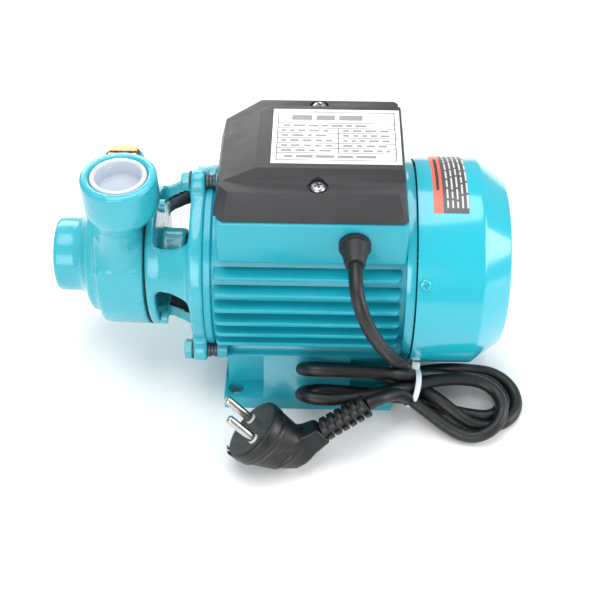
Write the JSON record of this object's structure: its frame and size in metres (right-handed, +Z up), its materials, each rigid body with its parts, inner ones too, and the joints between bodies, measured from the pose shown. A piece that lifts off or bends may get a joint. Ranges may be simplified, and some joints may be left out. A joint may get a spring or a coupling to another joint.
{
  "type": "peripheral water pump",
  "caption": "Small motor-driven peripheral water pump: cast pump head on a lantern bracket, finned motor with terminal box and fan cover, bolting foot and a tied mains lead.",
  "frame": {"origin": "centre of the foot's four bolt holes, on the floor plane", "axes": "+X along the shaft from the suction port to the fan cover, +Y away from the mains lead's side, +Z up"},
  "size_m": [0.2674, 0.1741, 0.1488],
  "materials": {
    "cast_paint": "teal enamel over rough sand-cast iron",
    "housing_paint": "teal enamel on die-cast aluminium",
    "cover_paint": "smooth gloss teal enamel on drawn steel",
    "black_plastic": "black moulded plastic with a fine grain",
    "black_rubber": "soft black rubber",
    "cord_sheath": "black smooth rubber sheath with a soft sheen",
    "plug_plastic": "black moulded plug plastic",
    "nickel": "nickel-plated contacts",
    "white_plastic": "white translucent polyethylene",
    "nylon": "natural nylon",
    "brass": "machined brass",
    "copper_washer": "soft copper",
    "copper_wire": "enamelled copper wire",
    "zinc_steel": "zinc-plated steel",
    "bright_steel": "ground steel",
    "core_steel": "varnished laminations",
    "label_white": "printed white label film with plain ruled lines",
    "label_orange": "orange and dark two-tone label film",
    "ceramic": "fired ceramic ring",
    "carbon": "carbon ring in a pressed holder",
    "fan_plastic": "black moulded fan",
    "capacitor_can": "white plastic can",
    "cream_plastic": "cream moulded terminal strip",
    "gasket_paper": "pressed fibre gasket"
  },
  "bodies": {
    "pump_body": {"bracket_hub": "cast_paint", "bracket_legs": "cast_paint", "bracket_motor_end": "cast_paint", "bracket_pump_end": "cast_paint", "cable_tie": "nylon", "capacitor": "capacitor_can", "casing_gasket": "gasket_paper", "casing_screws": "zinc_steel", "cord_boot": "black_rubber", "cord_hank": "cord_sheath", "cord_lead": "cord_sheath", "cord_tail": "cord_sheath", "cover_nuts": "zinc_steel", "cover_posts": "zinc_steel", "cover_screws": "zinc_steel", "earth_screw": "zinc_steel", "fan_cover": "cover_paint", "fan_cover_screws": "zinc_steel", "foot_base": "housing_paint", "foot_screws": "zinc_steel", "front_bearing_outer": "bright_steel", "info_sticker": "label_orange", "motor_housing": "housing_paint", "nameplate": "label_white", "plug_body": "plug_plastic", "plug_clip": "nickel", "plug_pins": "nickel", "plug_sleeve": "plug_plastic", "pump_casing": "cast_paint", "rear_bearing_outer": "bright_steel", "rear_endshield": "housing_paint", "seal_seat": "ceramic", "stator_core": "core_steel", "stator_windings": "copper_wire", "terminal_block": "cream_plastic", "terminal_cover": "black_plastic", "terminal_gasket": "black_rubber", "tie_bolt_washers": "zinc_steel", "tie_bolts": "zinc_steel", "wave_washer": "zinc_steel"},
    "rotor": {"shaft": "bright_steel", "impeller": "brass", "impeller_key": "bright_steel", "rotor_core": "core_steel", "cooling_fan": "fan_plastic", "fan_clip": "zinc_steel", "seal_head": "carbon", "slinger": "black_rubber", "front_bearing_inner": "bright_steel", "rear_bearing_inner": "bright_steel"},
    "front_cage": {"front_bearing_balls": "bright_steel", "front_bearing_cage": "bright_steel"},
    "rear_cage": {"rear_bearing_balls": "bright_steel", "rear_bearing_cage": "bright_steel"},
    "port_cap": {"discharge_cap": "white_plastic"},
    "priming_seat": {"priming_washer": "copper_washer"},
    "priming_screw": {"priming_plug": "brass"}
  },
  "joints": [
    {"name": "rotor_spin", "type": "hinge", "parent": "pump_body", "child": "rotor", "pos_m": [0, 0, 0.063], "axis": [1, 0, 0], "continuous": true},
    {"name": "front_cage_spin", "type": "hinge", "parent": "pump_body", "child": "front_cage", "pos_m": [-0.0526, 0, 0.063], "axis": [1, 0, 0], "continuous": true},
    {"name": "rear_cage_spin", "type": "hinge", "parent": "pump_body", "child": "rear_cage", "pos_m": [0.0516, 0, 0.063], "axis": [1, 0, 0], "continuous": true},
    {"name": "port_cap_pull", "type": "slide", "parent": "pump_body", "child": "port_cap", "axis": [0, 0, 1], "range_m": [0, 0.03]},
    {"name": "priming_lift", "type": "slide", "parent": "pump_body", "child": "priming_seat", "axis": [0, 0, 1], "range_m": [0, 0.0081]},
    {"name": "priming_turn", "type": "hinge", "parent": "priming_seat", "child": "priming_screw", "pos_m": [-0.1033, 0.0195, 0.118], "axis": [0, 0, 1], "range_deg": [0, 2160]}
  ],
  "couplings": [
    {"joint": "front_cage_spin", "follows": "rotor_spin", "ratio": 0.365},
    {"joint": "rear_cage_spin", "follows": "rotor_spin", "ratio": 0.365},
    {"joint": "priming_lift", "follows": "priming_turn", "m_per_rad": 0.00021279}
  ]
}
